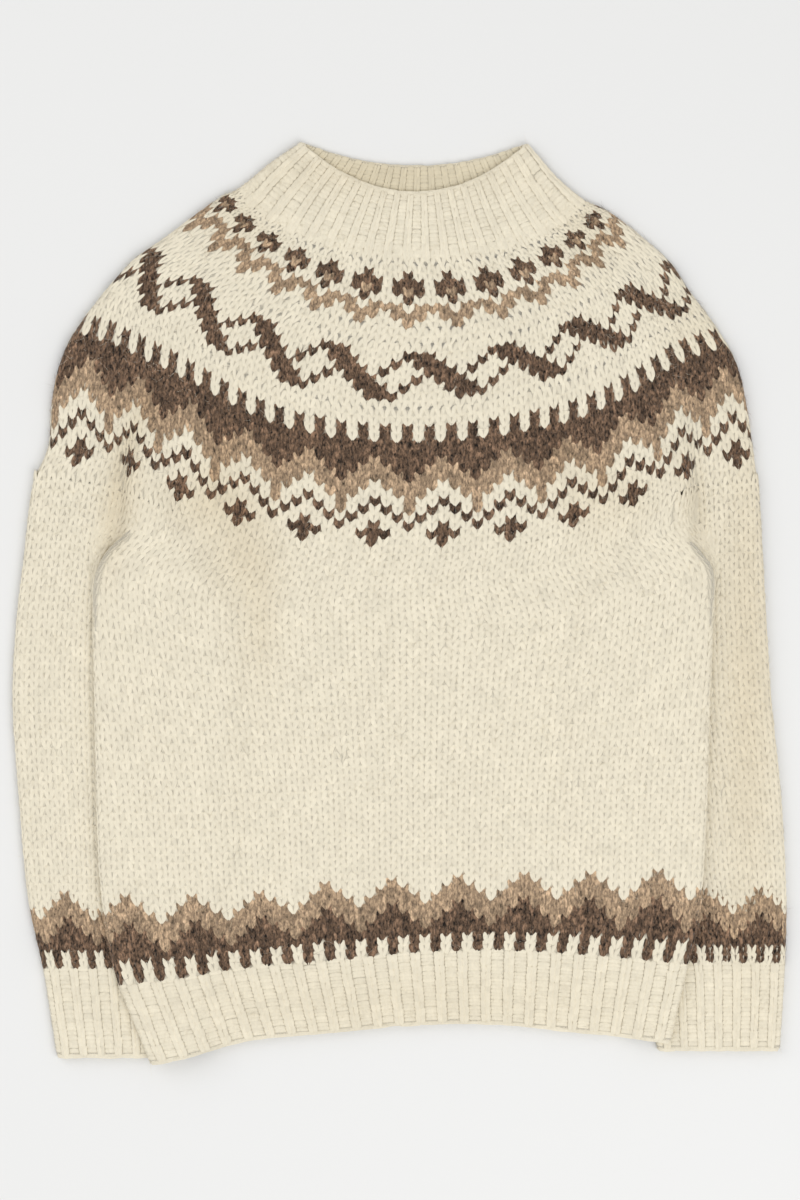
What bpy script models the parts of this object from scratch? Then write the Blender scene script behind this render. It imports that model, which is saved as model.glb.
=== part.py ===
# Round-yoke wool pullover, knitted in the round and laid flat on its back.
# Lengths in the tables are millimetres. X runs to the viewer's right, Y towards the collar
# and Z up from the surface. The middle of the laid garment is the origin in X and Y.
# Every piece is a flattened open tube: an outer skin and an inner skin one wall apart,
# read from closed rings that run left to right along the front and back along the back.

import bmesh
import bpy
import math
from collections import namedtuple

# Driving sizes of the cloth

MM = 0.001
WALL = 3.5            # thickness of one layer of the bulky knit
AIR = 1.4             # air between front and back where the cloth lies flattest
SEAM = 0.4            # gap left between pieces that are knitted on to each other
ROW_PITCH = 5.62      # height of one knitted row
RIB_VALLEY = 1.3      # depth of the purl valleys between ribs
REST = 0.4            # gap between a sleeve and the body side that lies over it

SLEEVE_TOP = 2 * WALL + AIR
OVERLAP_LIFT = SLEEVE_TOP + REST
FOLD_RADIUS = WALL + AIR / 2
INNER_RADIUS = AIR / 2

# Courses of the yoke and the collar: row number counted up from the yoke's first row, the
# two folded ends of that course, and how its front sags between them

Course = namedtuple("Course", "row left_x left_y right_x right_y spread fall")
COURSES = [
    Course(0, -256, 86, 250, 84, 2.6, 2.5),
    Course(4, -247, 107, 247, 106, 2.5, 2.3),
    Course(10, -244, 141, 242, 140, 2.3, 1.9),
    Course(15, -237, 171, 235, 167, 2.2, 1.6),
    Course(19, -223, 196, 222, 190, 2.1, 1.4),
    Course(25, -189, 237, 201, 219, 2.1, 1.15),
    Course(28, -168, 252, 187, 239, 2.0, 1.0),
    Course(33, -129, 281, 148, 271, 2.0, 0.75),
    Course(37, -113, 289, 128.5, 281, 2.0, 0.65),
    Course(41, -92, 306, 109, 297, 2.0, 0.75),
    Course(45, -70, 323, 89, 322, 2.0, 0.9),
]
COLLAR_ROW = 37
TOP_ROW = 45
JOIN_FRONT_Y = 31.5   # lowest point of the yoke's first row, at the centre front
BACK_RISE = 19        # how much higher a course runs across the back than across the front
RISE_ROWS = 12        # rows over which the back gains that height
SEAM_ROWS = SEAM / 2 / ROW_PITCH

# Lower edge of the body, across its width

HemLine = namedtuple("HemLine", "x top_y bottom_y")
HEM_LINES = [
    HemLine(-215, -272, -324),
    HemLine(-175, -268, -323),
    HemLine(-140, -263, -316),
    HemLine(-105, -258, -307),
    HemLine(-49, -253.5, -302),
    HemLine(0, -248.5, -297),
    HemLine(56, -246, -295.5),
    HemLine(112, -248, -300),
    HemLine(154, -251, -304.5),
    HemLine(203, -255.5, -309),
]

# Sides of the body, as shares of the way from the hem rib up to the yoke

BodySide = namedtuple("BodySide", "share left_x right_x")
BODY_SIDES = [
    BodySide(0.00, -197, 201),
    BodySide(0.10, -205, 209),
    BodySide(0.25, -211, 213),
    BodySide(0.55, -214, 216.5),
    BodySide(0.75, -215, 219),
    BodySide(0.82, -213.5, 218.5),
    BodySide(0.87, -206, 208.5),
    BodySide(0.93, -190, 194),
    BodySide(1.00, -183, 195.6),
]
HEM_SIDES = [
    BodySide(0.0, -175, 189),
    BodySide(1.0, -197, 201),
]

# Edges of the two sleeves and their cuffs, from the cuff's end up to the armpit

SleeveEdge = namedtuple("SleeveEdge", "y outer_x inner_x")
LEFT_SLEEVE = [
    SleeveEdge(-319, -241, -153),
    SleeveEdge(-259, -250.5, -153),
    SleeveEdge(-210, -261, -144),
    SleeveEdge(-140, -267.5, -135),
    SleeveEdge(-70, -272, -131),
    SleeveEdge(-14, -269, -137.5),
    SleeveEdge(28, -264, -157),
    SleeveEdge(56, -261, -175),
    SleeveEdge(82, -257, -184),
]
RIGHT_SLEEVE = [
    SleeveEdge(-314, 266, 180),
    SleeveEdge(-255, 269.5, 174),
    SleeveEdge(-210, 270.5, 161),
    SleeveEdge(-140, 267, 144),
    SleeveEdge(-70, 260, 138),
    SleeveEdge(-14, 256.5, 147),
    SleeveEdge(28, 254, 168),
    SleeveEdge(56, 252.5, 187),
    SleeveEdge(82, 251, 196.5),
]
LEFT_CUFF_TOP = -259
RIGHT_CUFF_TOP = -255
BODY_CLEAR = 4        # how far past a sleeve's hidden edge the body stays lifted
BODY_RAMP = 28        # width over which the body then comes down to the surface

# Tucks that run up into the yoke from the armpits: where the step stands and where it fades

Tuck = namedtuple("Tuck", "foot_x head_x start_y end_y")
LEFT_TUCK = Tuck(-197, -185.5, 90, 154)
RIGHT_TUCK = Tuck(210, 198.5, 90, 175)

# Soft folds of the front: two ends, half width and height, a trough where it is negative

Fold = namedtuple("Fold", "x0 y0 x1 y1 width height")
FOLDS = [
    Fold(17, 14, -20, -84, 10, 1.3),
    Fold(31, 7, -6, -88, 8, -0.8),
    Fold(48, 2, 12, -92, 10, 1.0),
    Fold(168, -63, 126, -98, 9, 1.1),
    Fold(-166, 62, -128, -4, 9, 1.3),
    Fold(186, 60, 140, -2, 9, 1.3),
    Fold(-118, -160, -84, -222, 10, 0.9),
    Fold(-60, 200, -30, 120, 10, 0.8),
    Fold(90, 190, 60, 110, 10, 0.8),
]
FOLD_FADE = 18        # length over which a fold dies out past its ends

# How finely each piece is read

POINTS_PER_RIB = 3
HEM_RIBS = 26         # ribs across the front, with as many across the back
COLLAR_RIBS = 16
CUFF_RIBS = 7
BODY_SPANS = 42       # steps across the front of a plain ring
YOKE_SPANS = COLLAR_RIBS * POINTS_PER_RIB
SLEEVE_SPANS = 14
FOLD_ANGLES = [math.pi / 4, math.pi / 2, math.pi * 3 / 4]
BODY_STATIONS = [0, 0.1, 0.22, 0.36, 0.5, 0.64, 0.74, 0.82, 0.88, 0.94, 1]
YOKE_ROWS = [SEAM_ROWS, 3, 6, 9.5, 13, 17, 21, 25, 29, 33, COLLAR_ROW - SEAM_ROWS]
COLLAR_ROWS = [COLLAR_ROW + SEAM_ROWS, 39, 41, 43, TOP_ROW]
SLEEVE_STATIONS = [0, 0.12, 0.26, 0.4, 0.54, 0.67, 0.78, 0.86, 0.92, 0.96, 1]
RIB_STATIONS = [0, 0.5, 1]

# Wool colours: base colour and roughness

CREAM = (0.84, 0.77, 0.63, 1)
RIB_CREAM = (0.86, 0.79, 0.65, 1)
WOOL_ROUGHNESS = 0.95


# Reading the tables

def mix(first, second, share):
    return first + (second - first) * share


def smooth_step(value):
    value = min(max(value, 0), 1)
    return value * value * (3 - 2 * value)


def read_table(table, key, column, at):
    # a smooth curve through the rows, level or bent as its neighbours ask
    keys = [getattr(row, key) for row in table]
    values = [getattr(row, column) for row in table]
    if at <= keys[0]:
        return values[0]
    if at >= keys[-1]:
        return values[-1]
    place = max(index for index, start in enumerate(keys) if start <= at)
    width = keys[place + 1] - keys[place]
    share = (at - keys[place]) / width
    slopes = []
    for index in (place, place + 1):
        before = max(index - 1, 0)
        after = min(index + 1, len(keys) - 1)
        slopes.append((values[after] - values[before]) / (keys[after] - keys[before]))
    start, end = values[place], values[place + 1]
    square, cube = share * share, share * share * share
    return (
        start * (2 * cube - 3 * square + 1)
        + slopes[0] * width * (cube - 2 * square + share)
        + end * (3 * square - 2 * cube)
        + slopes[1] * width * (cube - square)
    )


# Lines of the garment

def course_ends(row):
    names = ("left_x", "left_y", "right_x", "right_y", "spread", "fall")
    return Course(row, *[read_table(COURSES, "row", name, row) for name in names])


def course_y(ends, x, side):
    # where a course runs at x, sagging between its folded ends: side 1 is front, 0 is back
    share = min(max((x - ends.left_x) / (ends.right_x - ends.left_x), 0), 1)
    straight = mix(ends.left_y, ends.right_y, share)
    rise = BACK_RISE * min(ends.row / RISE_ROWS, 1) * (1 - side)
    middle = JOIN_FRONT_Y + ROW_PITCH * ends.row + rise
    sag = (1 - abs(2 * share - 1) ** ends.spread) ** ends.fall
    return straight + (middle - (ends.left_y + ends.right_y) / 2) * sag


# Heights of the cloth

def body_lift(x, y):
    # the body's sides lie over the sleeves and come down to the surface between them
    past_left = x - read_table(LEFT_SLEEVE, "y", "inner_x", y)
    past_right = read_table(RIGHT_SLEEVE, "y", "inner_x", y) - x
    inward = min(past_left, past_right)
    return OVERLAP_LIFT * (1 - smooth_step((inward - BODY_CLEAR) / BODY_RAMP))


def tuck_share(tuck, x, y):
    across = smooth_step((x - tuck.foot_x) / (tuck.head_x - tuck.foot_x))
    up = smooth_step((y - tuck.start_y) / (tuck.end_y - tuck.start_y))
    return across * (1 - up)


def yoke_lift(x, y):
    tuck = LEFT_TUCK if x < 0 else RIGHT_TUCK
    return body_lift(x, y) * tuck_share(tuck, x, y)


def no_lift(x, y):
    return 0


def fold_height(fold, x, y):
    run_x, run_y = fold.x1 - fold.x0, fold.y1 - fold.y0
    length = math.hypot(run_x, run_y)
    along = ((x - fold.x0) * run_x + (y - fold.y0) * run_y) / length
    across = ((x - fold.x0) * run_y - (y - fold.y0) * run_x) / length
    beyond = max(-along, along - length, 0)
    fade = math.exp(-(beyond / FOLD_FADE) ** 2)
    return fold.height * fade * math.exp(-(across / fold.width) ** 2)


def front_air(x, y):
    return AIR + sum(fold_height(fold, x, y) for fold in FOLDS)


def flat_air(x, y):
    return AIR


# One closed ring of a flattened tube: straight front, round fold, straight back, round fold

def ring_places(width, spans):
    # run along the ring's width, outward share sideways and upwards, and whether in a valley
    straight = width - 2 * FOLD_RADIUS
    runs = [FOLD_RADIUS + straight * step / spans for step in range(spans + 1)]
    valleys = [step % POINTS_PER_RIB == POINTS_PER_RIB - 1 for step in range(spans + 1)]
    places = [(run, 0, 1, valley) for run, valley in zip(runs, valleys)]
    for angle in FOLD_ANGLES:
        valley = angle == FOLD_ANGLES[1]
        places.append((width - FOLD_RADIUS, math.sin(angle), math.cos(angle), valley))
    places += [(run, 0, -1, valley) for run, valley in zip(runs[::-1], valleys[::-1])]
    for angle in FOLD_ANGLES:
        valley = angle == FOLD_ANGLES[1]
        places.append((FOLD_RADIUS, -math.sin(angle), -math.cos(angle), valley))
    return places


def ring(left, right, line, lift, air, spans, ribbed=False):
    # line(x, side) gives y, with side 1 at the front and 0 at the back
    outer, inner = [], []
    for along, sideways, upward, in_valley in ring_places(right - left, spans):
        x = left + along
        side = (1 + upward) / 2
        outer_x = x + sideways * FOLD_RADIUS
        inner_x = x + sideways * INNER_RADIUS
        outer_y = line(outer_x, side)
        gap = air(x, outer_y)
        middle = lift(outer_x, outer_y) + WALL + gap / 2
        valley = RIB_VALLEY if ribbed and in_valley else 0
        outer_z = middle + upward * (WALL + gap / 2 - valley)
        outer.append((outer_x - sideways * valley, outer_y, outer_z))
        inner.append((inner_x, line(inner_x, side), middle + upward * gap / 2))
    return outer, inner


# Meshes, materials and objects

def tube_mesh(name, rings):
    # outer skin upwards over every ring, inner skin back down over every second one
    mesh = bpy.data.meshes.new(name)
    shape = bmesh.new()
    loops = [outer for outer, inner in rings] + [inner for outer, inner in rings[::-2]]
    rows = [[shape.verts.new([value * MM for value in point]) for point in loop] for loop in loops]
    for index, row in enumerate(rows):
        after = rows[(index + 1) % len(rows)]
        for place in range(len(row)):
            step = (place + 1) % len(row)
            shape.faces.new((row[place], row[step], after[step], after[place]))
    bmesh.ops.recalc_face_normals(shape, faces=shape.faces)
    bmesh.ops.triangulate(shape, faces=shape.faces)
    shape.to_mesh(mesh)
    shape.free()
    return mesh


def wool(name, colour):
    material = bpy.data.materials.new(name)
    material.use_nodes = True
    surface = material.node_tree.nodes["Principled BSDF"]
    surface.inputs["Base Color"].default_value = colour
    surface.inputs["Roughness"].default_value = WOOL_ROUGHNESS
    surface.inputs["Metallic"].default_value = 0
    return material


def add_tube(name, rings, colour):
    piece = bpy.data.objects.new(name, tube_mesh(name, rings))
    piece.data.materials.append(wool(name + "_wool", colour))
    piece.data.shade_smooth()
    bpy.context.scene.collection.objects.link(piece)
    return piece


# Pieces of the garment

def course_rings(rows, lift, air, ribbed=False):
    rings = []
    for row in rows:
        ends = course_ends(row)

        def line(x, side, ends=ends):
            return course_y(ends, x, side)

        rings.append(ring(ends.left_x, ends.right_x, line, lift, air, YOKE_SPANS, ribbed))
    return rings


def make_yoke():
    return add_tube("yoke", course_rings(YOKE_ROWS, yoke_lift, front_air), CREAM)


def make_collar():
    rings = course_rings(COLLAR_ROWS, no_lift, flat_air, ribbed=True)
    return add_tube("collar", rings, RIB_CREAM)


def join_line(x):
    return course_y(course_ends(0), x, 1) - SEAM / 2


def trunk_rings(sides, stations, low, high, air, spans, ribbed=False):
    # rings of the body or its hem between two lines, low(x) and high(x)
    rings = []
    for share in stations:
        left = read_table(sides, "share", "left_x", share)
        right = read_table(sides, "share", "right_x", share)

        def line(x, side, share=share):
            return mix(low(x), high(x), share)

        rings.append(ring(left, right, line, body_lift, air, spans, ribbed))
    return rings


def make_body():
    def low(x):
        return read_table(HEM_LINES, "x", "top_y", x) + SEAM / 2

    rings = trunk_rings(BODY_SIDES, BODY_STATIONS, low, join_line, front_air, BODY_SPANS)
    return add_tube("body", rings, CREAM)


def make_hem_rib():
    def low(x):
        return read_table(HEM_LINES, "x", "bottom_y", x)

    def high(x):
        return read_table(HEM_LINES, "x", "top_y", x) - SEAM / 2

    spans = HEM_RIBS * POINTS_PER_RIB
    rings = trunk_rings(HEM_SIDES, RIB_STATIONS, low, high, flat_air, spans, ribbed=True)
    return add_tube("hem_rib", rings, RIB_CREAM)


def sleeve_rings(table, stations, low, high, spans, ribbed=False):
    # rings of a sleeve or cuff from y = low up to the line high(x)
    middle = (table[-1].outer_x + table[-1].inner_x) / 2
    rings = []
    for share in stations:
        y = mix(low, high(middle), share)
        edges = sorted(read_table(table, "y", name, y) for name in ("outer_x", "inner_x"))

        def line(x, side, share=share):
            return mix(low, high(x), share)

        rings.append(ring(edges[0], edges[1], line, no_lift, flat_air, spans, ribbed))
    return rings


def make_sleeve(name, table, cuff_top):
    low = cuff_top + SEAM / 2
    rings = sleeve_rings(table, SLEEVE_STATIONS, low, join_line, SLEEVE_SPANS)
    return add_tube(name, rings, CREAM)


def make_cuff(name, table, cuff_top):
    def high(x):
        return cuff_top - SEAM / 2

    spans = CUFF_RIBS * POINTS_PER_RIB
    rings = sleeve_rings(table, RIB_STATIONS, table[0].y, high, spans, ribbed=True)
    return add_tube(name, rings, RIB_CREAM)


def centre_on_origin(pieces):
    # the middle of the laid garment's box stands over the origin
    for axis in (0, 1):
        values = [vertex.co[axis] for piece in pieces for vertex in piece.data.vertices]
        middle = (min(values) + max(values)) / 2
        for piece in pieces:
            for vertex in piece.data.vertices:
                vertex.co[axis] -= middle


def build():
    for item in list(bpy.data.objects):
        bpy.data.objects.remove(item)
    pieces = [
        make_yoke(),
        make_collar(),
        make_body(),
        make_hem_rib(),
        make_sleeve("sleeve_left", LEFT_SLEEVE, LEFT_CUFF_TOP),
        make_sleeve("sleeve_right", RIGHT_SLEEVE, RIGHT_CUFF_TOP),
        make_cuff("cuff_left", LEFT_SLEEVE, LEFT_CUFF_TOP),
        make_cuff("cuff_right", RIGHT_SLEEVE, RIGHT_CUFF_TOP),
    ]
    centre_on_origin(pieces)


build()
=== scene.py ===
import math
import bpy
import numpy as np
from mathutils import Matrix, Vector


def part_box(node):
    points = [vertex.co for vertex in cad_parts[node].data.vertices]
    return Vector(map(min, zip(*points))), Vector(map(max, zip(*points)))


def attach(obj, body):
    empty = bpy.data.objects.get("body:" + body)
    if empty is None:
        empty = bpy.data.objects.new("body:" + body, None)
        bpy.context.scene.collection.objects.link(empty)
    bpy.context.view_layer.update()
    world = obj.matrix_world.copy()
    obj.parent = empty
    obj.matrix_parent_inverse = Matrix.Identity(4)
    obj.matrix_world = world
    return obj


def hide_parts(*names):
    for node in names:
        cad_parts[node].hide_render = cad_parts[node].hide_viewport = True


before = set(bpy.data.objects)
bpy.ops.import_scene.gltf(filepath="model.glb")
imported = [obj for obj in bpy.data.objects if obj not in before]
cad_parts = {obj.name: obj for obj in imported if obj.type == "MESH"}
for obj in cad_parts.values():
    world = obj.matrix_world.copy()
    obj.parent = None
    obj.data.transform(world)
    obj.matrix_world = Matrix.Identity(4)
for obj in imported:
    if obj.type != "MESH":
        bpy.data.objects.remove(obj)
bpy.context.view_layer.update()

# Round-yoke wool pullover, knitted in the round and laid flat on its back.
# Lengths are millimetres on the laid garment until a mesh is made; X to the viewer's right,
# Y towards the collar, Z up. Rows and stitches are counted as a knitter counts them.

cloth = dict(
    wall=3.5,          # one layer of the bulky knit
    air=1.4,           # between front and back where the cloth lies flattest
    seam=0.4,          # gap that the frame leaves between its pieces
    rowPitch=5.62,
    rest=0.4,          # between a sleeve and the layer that lies on it
    shellInset=0.25,   # how far the cloth under the stitches stays below their tops
    ribInset=0.6,      # the same under the ribs
)
foldRadius = cloth["wall"] + cloth["air"] / 2
sleeveTop = 2 * cloth["wall"] + cloth["air"]
overlapLift = sleeveTop + cloth["rest"]
seamRows = cloth["seam"] / 2 / cloth["rowPitch"]


def table(names, rows):
    return dict(zip(names.split(), np.array(rows, float).T))


# courses of the yoke and the collar: folded ends, and how the front sags between them
courses = table("row leftX leftY rightX rightY spread fall", [
    (0, -256, 86, 250, 84, 2.6, 2.5), (4, -247, 107, 247, 106, 2.5, 2.3),
    (10, -244, 141, 242, 140, 2.3, 1.9), (15, -237, 171, 235, 167, 2.2, 1.6),
    (19, -223, 196, 222, 190, 2.1, 1.4), (25, -189, 237, 201, 219, 2.1, 1.15),
    (28, -168, 252, 187, 239, 2.0, 1.0), (33, -129, 281, 148, 271, 2.0, 0.75),
    (37, -113, 289, 128.5, 281, 2.0, 0.65), (41, -92, 306, 109, 297, 2.0, 0.75),
    (45, -70, 323, 89, 322, 2.0, 0.9),
])
# the yoke's first course at the centre front, and how much higher the back's rows rise
joinFrontY, backRise, riseRows = 31.5, 19, 12
hemLines = table("x topY bottomY", [
    (-215, -272, -324), (-175, -268, -323), (-140, -263, -316), (-105, -258, -307),
    (-49, -253.5, -302), (0, -248.5, -297), (56, -246, -295.5), (112, -248, -300),
    (154, -251, -304.5), (203, -255.5, -309),
])
bodySides = table("share leftX rightX", [
    (0.00, -197, 201), (0.10, -205, 209), (0.25, -211, 213), (0.55, -214, 216.5),
    (0.75, -215, 219), (0.82, -213.5, 218.5), (0.87, -206, 208.5), (0.93, -190, 194),
    (1.00, -183, 195.6),
])
hemSides = table("share leftX rightX", [(0, -175, 189), (1, -197, 201)])
leftSleeve = table("y outerX innerX", [
    (-319, -241, -153), (-259, -250.5, -153), (-210, -261, -144), (-140, -267.5, -135),
    (-70, -272, -131), (-14, -269, -137.5), (28, -264, -157), (56, -261, -175), (82, -257, -184),
])
rightSleeve = table("y outerX innerX", [
    (-314, 266, 180), (-255, 269.5, 174), (-210, 270.5, 161), (-140, 267, 144),
    (-70, 260, 138), (-14, 256.5, 147), (28, 254, 168), (56, 252.5, 187), (82, 251, 196.5),
])
leftCuffTop, rightCuffTop = -259, -255
# the body comes down from a sleeve this far past its inner fold, over this width
bodyClear, bodyRamp = 4, 28
leftTuck = dict(footX=-197, headX=-185.5, startY=90, endY=154)
rightTuck = dict(footX=210, headX=198.5, startY=90, endY=175)
# soft folds of the front: two ends, half width and height
folds = [
    (17, 14, -20, -84, 10, 1.3), (31, 7, -6, -88, 8, -0.8), (48, 2, 12, -92, 10, 1.0),
    (168, -63, 126, -98, 9, 1.1), (-166, 62, -128, -4, 9, 1.3), (186, 60, 140, -2, 9, 1.3),
    (-118, -160, -84, -222, 10, 0.9), (-60, 200, -30, 120, 10, 0.8), (90, 190, 60, 110, 10, 0.8),
]
foldFade = 18


# Reading tables and nets, for whole arrays at once

def mix(first, second, share):
    return first + (second - first) * share


def smoothStep(value):
    value = np.clip(value, 0, 1)
    return value * value * (3 - 2 * value)


def unit(vectors):
    return vectors / np.linalg.norm(vectors, axis=-1, keepdims=True)


def readNet(net, rows, columns, row, column, hold=(False, False)):
    # between even rows and columns; a held side stops at its ends, the others run on
    place = []
    for values, at, held in ((rows, row, hold[0]), (columns, column, hold[1])):
        along = (at - values[0]) / (values[1] - values[0])
        if held:
            along = np.clip(along, 0, len(values) - 1)
        index = np.clip(along.astype(int), 0, len(values) - 2)
        part = along - index
        place.append((index, part if net.ndim == 2 else part[..., None]))
    (r, up), (c, right) = place
    return mix(mix(net[r, c], net[r, c + 1], right),
               mix(net[r + 1, c], net[r + 1, c + 1], right), up)


def readTable(rows, key, column, at):
    keys, values = rows[key], rows[column]
    index = np.arange(len(keys))
    before, after = np.maximum(index - 1, 0), np.minimum(index + 1, len(keys) - 1)
    slopes = (values[after] - values[before]) / (keys[after] - keys[before])
    at = np.clip(np.asarray(at, float), keys[0], keys[-1])
    place = np.clip(np.searchsorted(keys, at, side="right") - 1, 0, len(keys) - 2)
    width = keys[place + 1] - keys[place]
    share = (at - keys[place]) / width
    square, cube = share ** 2, share ** 3
    return (values[place] * (2 * cube - 3 * square + 1)
            + slopes[place] * width * (cube - 2 * square + share)
            + values[place + 1] * (3 * square - 2 * cube)
            + slopes[place + 1] * width * (cube - square))


def courseEnds(row):
    return [readTable(courses, "row", name, row) for name in ("leftX", "rightX")]


def courseY(row, x, side):
    ends = {name: readTable(courses, "row", name, row) for name in courses if name != "row"}
    share = np.clip((x - ends["leftX"]) / (ends["rightX"] - ends["leftX"]), 0, 1)
    straight = mix(ends["leftY"], ends["rightY"], share)
    rise = backRise * np.minimum(row / riseRows, 1) * (1 - side)
    middle = joinFrontY + cloth["rowPitch"] * row + rise
    sag = (1 - np.abs(2 * share - 1) ** ends["spread"]) ** ends["fall"]
    return straight + (middle - (ends["leftY"] + ends["rightY"]) / 2) * sag


def joinLine(x):
    return courseY(0 * x, x, 1) - cloth["seam"] / 2


def hemTop(x):
    return readTable(hemLines, "x", "topY", x)


def hemBottom(x):
    return readTable(hemLines, "x", "bottomY", x)


# Heights of the cloth

def bodyLift(x, y):
    pastLeft = x - readTable(leftSleeve, "y", "innerX", y)
    pastRight = readTable(rightSleeve, "y", "innerX", y) - x
    inward = np.minimum(pastLeft, pastRight)
    return overlapLift * (1 - smoothStep((inward - bodyClear) / bodyRamp))


def tuckShare(tuck, x, y):
    across = smoothStep((x - tuck["footX"]) / (tuck["headX"] - tuck["footX"]))
    return across * (1 - smoothStep((y - tuck["startY"]) / (tuck["endY"] - tuck["startY"])))


def yokeLift(x, y):
    share = np.where(x < 0, tuckShare(leftTuck, x, y), tuckShare(rightTuck, x, y))
    return bodyLift(x, y) * share


def noLift(x, y):
    return 0 * x


def frontAir(x, y):
    total = cloth["air"] + 0 * x
    for x0, y0, x1, y1, width, height in folds:
        runX, runY = x1 - x0, y1 - y0
        length = math.hypot(runX, runY)
        along = ((x - x0) * runX + (y - y0) * runY) / length
        across = ((x - x0) * runY - (y - y0) * runX) / length
        beyond = np.maximum(np.maximum(-along, along - length), 0)
        total = total + height * np.exp(-(beyond / foldFade) ** 2 - (across / width) ** 2)
    return total


def flatAir(x, y):
    return cloth["air"] + 0 * x


# creases of the cloth's face that the frame leaves plain: points along each, half width, height
creases = [
    ([(-203, 30), (-200, 66), (-194, 98), (-184, 124), (-172, 142)], 5.5, -2.6),
    ([(-190, 52), (-186, 80), (-178, 108), (-164, 130)], 9, 2.2),
    ([(214, 30), (206, 74), (203, 108), (201, 140), (196, 168)], 5.5, -2.6),
    ([(200, 46), (191, 84), (187, 116), (184, 144)], 9, 2.2),
]
creaseFade = dict(start=0.12, power=0.7)   # each swells from a little to full and dies away


def creaseAt(x, y):
    total = 0 * x
    for line, width, height in creases:
        nearest, along, length = np.full(x.shape, 1e9), 0 * x, 0.0
        whole = sum(math.dist(a, b) for a, b in zip(line, line[1:]))
        for (x0, y0), (x1, y1) in zip(line, line[1:]):
            step = math.dist((x0, y0), (x1, y1))
            part = np.clip(((x - x0) * (x1 - x0) + (y - y0) * (y1 - y0)) / step ** 2, 0, 1)
            away = np.hypot(x - mix(x0, x1, part), y - mix(y0, y1, part))
            closer = away < nearest
            nearest = np.where(closer, away, nearest)
            along = np.where(closer, (length + part * step) / whole, along)
            length += step
        swelling = np.clip(mix(creaseFade["start"], 1, along), 0, 1)
        fade = np.sin(math.pi * swelling) ** creaseFade["power"]
        total = total + height * fade * np.exp(-(nearest / width) ** 2)
    return total


# Each tube of the garment: its two folded edges and its courses. share runs round the tube,
# 0 to 1 across the front from fold to fold and 1 to 2 back across the underside.

def ringPlace(left, right, share):
    straight, half = right - left - 2 * foldRadius, math.pi * foldRadius
    run = np.mod(np.mod(share, 2) * (straight + half) - half / 2, 2 * (straight + half))
    rightTurn = np.clip((run - straight) / foldRadius, 0, math.pi)
    leftTurn = np.clip((run - 2 * straight - half) / foldRadius, 0, math.pi)
    backRun = np.clip(run - straight - half, 0, straight)
    x = left + foldRadius + np.clip(run, 0, straight) - backRun
    upward = np.where(run > 2 * straight + half, -np.cos(leftTurn), np.cos(rightTurn))
    return x, np.sin(rightTurn) - np.sin(leftTurn), upward


def bodyShare(row, x):
    # rows of even pitch from the hem, with the last ones fitted to the yoke's first course
    low, high = hemTop(x) + cloth["seam"] / 2, joinLine(x)
    residual = high - low - body["pitch"] * body["rows"]
    y = low + body["pitch"] * row + residual * np.clip(row / body["rows"], 0, 9) ** body["ease"]
    return (y - low) / (high - low), y


settleRounds = 3   # the body's sides depend on its height and the height on its sides


def trunk(sides, row, rows, share, low, high):
    part = row / rows
    for settle in range(settleRounds):
        left = readTable(sides, "share", "leftX", part)
        right = readTable(sides, "share", "rightX", part)
        x, sideways, upward = ringPlace(left, right, share)
        if sides is hemSides:
            break
        part = bodyShare(row, x + sideways * foldRadius)[0]
    return x, sideways, upward, lambda at, side: mix(low(at), high(at), part)


def ringOfYoke(row, share):
    x, sideways, upward = ringPlace(*courseEnds(row), share)
    return x, sideways, upward, lambda at, side: courseY(row, at, side)


def hemEdge(away):
    # the line between body and hem, less or more half the gap
    return lambda x: hemTop(x) + away * cloth["seam"] / 2


def ringOfBody(row, share):
    return trunk(bodySides, row, body["rows"], share, hemEdge(1), joinLine)


def ringOfHem(row, share):
    return trunk(hemSides, row, hemRib["rows"], share, hemBottom, hemEdge(-1))


def ringOfArm(edges, rows, low, high):
    def ring(row, share):
        part = row / rows
        middle = (edges["outerX"][-1] + edges["innerX"][-1]) / 2
        y = mix(low, high(middle + 0 * part), part)
        sides = [readTable(edges, "y", name, y) for name in ("outerX", "innerX")]
        x, sideways, upward = ringPlace(np.minimum(*sides), np.maximum(*sides), share)
        return x, sideways, upward, lambda at, side: mix(low, high(at), part)
    return ring


# the collar's two corners, rounded off over its last rows
blunt = dict(drop=1.8, reach=6.0, fromRow=4, rows=4)


def clothAt(region, row, share, depth=0):
    # a point of the cloth, depth below its outer face; the inner face is a wall's depth
    row, share = np.broadcast_arrays(np.asarray(row, float), np.asarray(share, float))
    x, sideways, upward, line = region["ring"](row, share)
    side = (1 + upward) / 2
    outerX = x + sideways * foldRadius
    outerY = line(outerX, side)
    gap = region["air"](outerX, outerY)
    middle = region["lift"](outerX, outerY) + cloth["wall"] + gap / 2
    z = middle + upward * (cloth["wall"] + gap / 2 - depth)
    if np.max(depth) < cloth["wall"]:
        z = z + creaseAt(outerX, outerY) * np.clip(upward, 0, 1)
    thisX = x + sideways * (foldRadius - depth)
    y = line(thisX, side)
    if region is collar:
        left, right = courseEnds(row + collar["firstRow"])
        inward = np.minimum(thisX - left, right - thisX)
        rounding = smoothStep((row - blunt["fromRow"]) / blunt["rows"])
        y = y - blunt["drop"] * rounding * np.exp(-(inward / blunt["reach"]) ** 2)
    return np.stack([thisX, y, z], axis=-1)


# Stitch counts and charts

plain, ribbed = "stocking_knit", "ribbed_knit"
firstRow = 0.3        # a row's own loops begin a third of a row up, over the heads below
onSleeves = ["sleeve_left", "sleeve_right"]

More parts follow.
